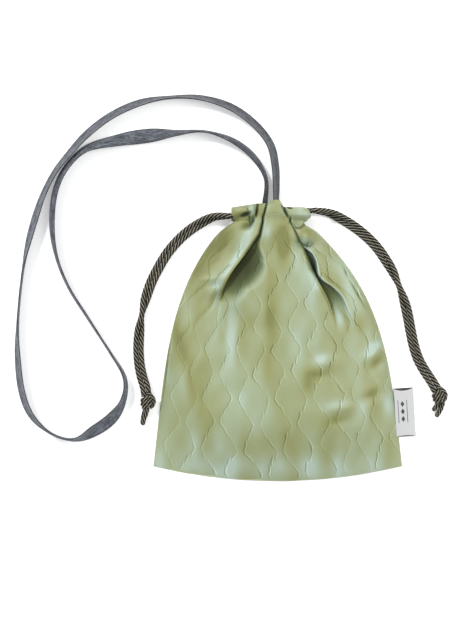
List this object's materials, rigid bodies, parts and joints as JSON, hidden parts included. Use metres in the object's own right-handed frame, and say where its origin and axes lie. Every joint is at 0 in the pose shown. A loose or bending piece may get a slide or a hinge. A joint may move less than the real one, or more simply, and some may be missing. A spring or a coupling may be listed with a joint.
{
  "type": "drawstring gift sack",
  "caption": "Flat satin drawstring sack with a gathered mouth, twisted pull cords ending in knots, a long tape shoulder strap and a folded side label.",
  "frame": {"origin": "on the flat outer face of the back panel, in the middle of the sack's width at the bottom and 124 mm above its bottom corners", "axes": "+Z out of the front of the sack, away from the surface that it lies on; +Y from the bottom seam to the gathered mouth; +X to the side with the label"},
  "size_m": [0.4339, 0.3883, 0.0291],
  "materials": {
    "sack_cloth": "pale green shot satin with a raised wavy trellis",
    "lining_cloth": "plain pale green lining",
    "thread": "pale sewing thread",
    "cord": "twisted black and beige cord",
    "strap_tape": "grey ribbed tape",
    "strap_thread": "dark sewing thread",
    "label_satin": "white satin ribbon with a plain grey motif"
  },
  "bodies": {
    "back": {"back_panel": "sack_cloth", "back_lining": "lining_cloth", "back_casing": "sack_cloth", "back_casing_stitching": "thread", "left_seam_thread": "thread", "right_seam_thread": "thread", "bottom_seam_thread": "thread", "strap_end_left": "strap_tape", "strap_end_right": "strap_tape", "strap_bartacks": "strap_thread"},
    "front": {"front_panel": "sack_cloth", "front_lining": "lining_cloth", "front_casing": "sack_cloth", "front_casing_stitching": "thread"},
    "left_back_runner": {"left_cord_back_run": "cord"},
    "left_front_runner": {"left_cord_front_run": "cord"},
    "left_lower_loop": {"left_cord_lower_strand": "cord", "left_knot": "cord", "left_tails": "cord"},
    "left_upper_loop": {"left_cord_upper_strand": "cord"},
    "right_back_runner": {"right_cord_back_run": "cord"},
    "right_front_runner": {"right_cord_front_run": "cord"},
    "right_lower_loop": {"right_cord_lower_strand": "cord", "right_knot": "cord", "right_tails": "cord"},
    "right_upper_loop": {"right_cord_upper_strand": "cord"},
    "strap": {"shoulder_strap": "strap_tape"},
    "label": {"side_label": "label_satin"}
  },
  "joints": [
    {"name": "mouth_open", "type": "hinge", "parent": "back", "child": "front", "pos_m": [0, -0.14, 0.0009], "axis": [1, 0, 0], "range_deg": [0, 4]},
    {"name": "left_pull", "type": "slide", "parent": "back", "child": "left_back_runner", "axis": [-1, 0, 0], "range_m": [0, 0.01]},
    {"name": "left_pull_front", "type": "slide", "parent": "front", "child": "left_front_runner", "axis": [-1, 0, 0], "range_m": [0, 0.01]},
    {"name": "left_lift", "type": "hinge", "parent": "left_back_runner", "child": "left_lower_loop", "pos_m": [-0.046, 0.1268, 0.0225], "axis": [0, 1, 0], "range_deg": [0, 90]},
    {"name": "left_lift_upper", "type": "hinge", "parent": "left_front_runner", "child": "left_upper_loop", "pos_m": [-0.046, 0.1268, 0.0225], "axis": [0, 1, 0], "range_deg": [0, 90]},
    {"name": "right_pull", "type": "slide", "parent": "back", "child": "right_back_runner", "axis": [1, 0, 0], "range_m": [0, 0.01]},
    {"name": "right_pull_front", "type": "slide", "parent": "front", "child": "right_front_runner", "axis": [1, 0, 0], "range_m": [0, 0.01]},
    {"name": "right_lift", "type": "hinge", "parent": "right_back_runner", "child": "right_lower_loop", "pos_m": [0.034, 0.1322, 0.0225], "axis": [0, -1, 0], "range_deg": [0, 90]},
    {"name": "right_lift_upper", "type": "hinge", "parent": "right_front_runner", "child": "right_upper_loop", "pos_m": [0.034, 0.1322, 0.0225], "axis": [0, -1, 0], "range_deg": [0, 90]},
    {"name": "strap_lift", "type": "hinge", "parent": "back", "child": "strap", "pos_m": [-0.0075, 0.138, 0.009], "axis": [0, 1, 0], "range_deg": [0, 150]},
    {"name": "label_flip", "type": "hinge", "parent": "back", "child": "label", "pos_m": [0.117, -0.046, 0.0026], "axis": [0.1253, -0.9921, 0], "range_deg": [0, 100]}
  ],
  "couplings": [
    {"joint": "left_pull_front", "follows": "left_pull", "ratio": 1},
    {"joint": "right_pull_front", "follows": "right_pull", "ratio": 1},
    {"joint": "left_lift_upper", "follows": "left_lift", "ratio": 1},
    {"joint": "right_lift_upper", "follows": "right_lift", "ratio": 1}
  ]
}
